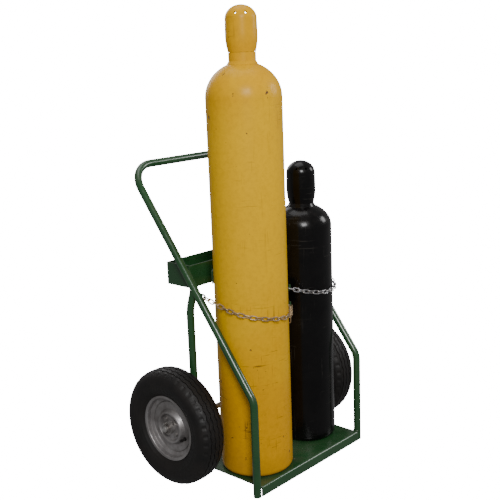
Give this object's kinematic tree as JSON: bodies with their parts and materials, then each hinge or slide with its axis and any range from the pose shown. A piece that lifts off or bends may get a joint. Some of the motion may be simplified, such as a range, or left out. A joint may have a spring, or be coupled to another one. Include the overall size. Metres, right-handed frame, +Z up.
{
  "type": "gas welding cylinder cart",
  "caption": "Bent-tube welding cart on pneumatic wheels with a tool tray, carrying a tall and a short chained gas cylinder under screw caps.",
  "frame": {"origin": "on the floor under the middle of the whole cart", "axes": "+X to the cart's right as seen from the front lip looking rearwards, +Y from the front lip to the handle at the rear, +Z up"},
  "size_m": [0.7962, 0.5444, 1.5117],
  "materials": {
    "green_enamel": "gloss",
    "yellow_paint": "gloss",
    "black_paint": "gloss",
    "tyre_rubber": "matte",
    "tube_rubber": "matte",
    "wheel_steel": "satin",
    "bright_steel": "satin",
    "zinc_steel": "satin",
    "chain_steel": "satin",
    "brass": "satin",
    "handwheel_paint": "satin"
  },
  "bodies": {
    "cart": {"axle": "bright_steel", "axle_washers": "zinc_steel", "base_plate": "green_enamel", "brace_left": "green_enamel", "brace_right": "green_enamel", "chain_hooks": "green_enamel", "chain_lug_left": "green_enamel", "chain_lug_right": "green_enamel", "chain_short": "chain_steel", "chain_tall": "chain_steel", "cotter_pins": "zinc_steel", "divider": "green_enamel", "frame_tube": "green_enamel", "saddle_short": "green_enamel", "saddle_tall": "green_enamel", "spacer_left": "bright_steel", "spacer_right": "bright_steel", "tray": "green_enamel"},
    "wheel_left": {"bearings_left": "bright_steel", "disc_inner_left": "wheel_steel", "disc_outer_left": "wheel_steel", "hub_bolts_left": "zinc_steel", "hub_left": "bright_steel", "inner_tube_left": "tube_rubber", "rim_left": "wheel_steel", "tyre_left": "tyre_rubber", "valve_stem_left": "tube_rubber"},
    "wheel_right": {"bearings_right": "bright_steel", "disc_inner_right": "wheel_steel", "disc_outer_right": "wheel_steel", "hub_bolts_right": "zinc_steel", "hub_right": "bright_steel", "inner_tube_right": "tube_rubber", "rim_right": "wheel_steel", "tyre_right": "tyre_rubber", "valve_stem_right": "tube_rubber"},
    "cylinder_tall": {"cylinder_tall": "yellow_paint", "neck_ring_tall": "yellow_paint", "valve_tall": "brass"},
    "cap_tall": {"cap_tall": "yellow_paint"},
    "handwheel_tall": {"handwheel_tall": "handwheel_paint"},
    "cylinder_short": {"cylinder_short": "black_paint", "neck_ring_short": "black_paint", "valve_short": "brass"},
    "cap_short": {"cap_short": "black_paint"},
    "handwheel_short": {"handwheel_short": "handwheel_paint"}
  },
  "joints": [
    {"name": "wheel_left_spin", "type": "hinge", "parent": "cart", "child": "wheel_left", "pos_m": [-0.3452, 0.02845, 0.1933], "axis": [1, 0, 0], "continuous": true},
    {"name": "wheel_right_spin", "type": "hinge", "parent": "cart", "child": "wheel_right", "pos_m": [0.3452, 0.02845, 0.1933], "axis": [1, 0, 0], "continuous": true},
    {"name": "cylinder_tall_lift", "type": "slide", "parent": "cart", "child": "cylinder_tall", "axis": [0, 0, 1], "range_m": [0, 0.45]},
    {"name": "cap_tall_lift", "type": "slide", "parent": "cylinder_tall", "child": "cap_tall", "axis": [0, 0, 1], "range_m": [0, 0.16]},
    {"name": "valve_tall_turn", "type": "hinge", "parent": "cylinder_tall", "child": "handwheel_tall", "pos_m": [-0.1378, -0.14068, 1.4585], "axis": [0, 0, 1], "range_deg": [0, 720]},
    {"name": "cylinder_short_lift", "type": "slide", "parent": "cart", "child": "cylinder_short", "axis": [0, 0, 1], "range_m": [0, 0.45]},
    {"name": "cap_short_lift", "type": "slide", "parent": "cylinder_short", "child": "cap_short", "axis": [0, 0, 1], "range_m": [0, 0.16]},
    {"name": "valve_short_turn", "type": "hinge", "parent": "cylinder_short", "child": "handwheel_short", "pos_m": [0.1551, -0.11778, 0.954], "axis": [0, 0, 1], "range_deg": [0, 720]}
  ]
}
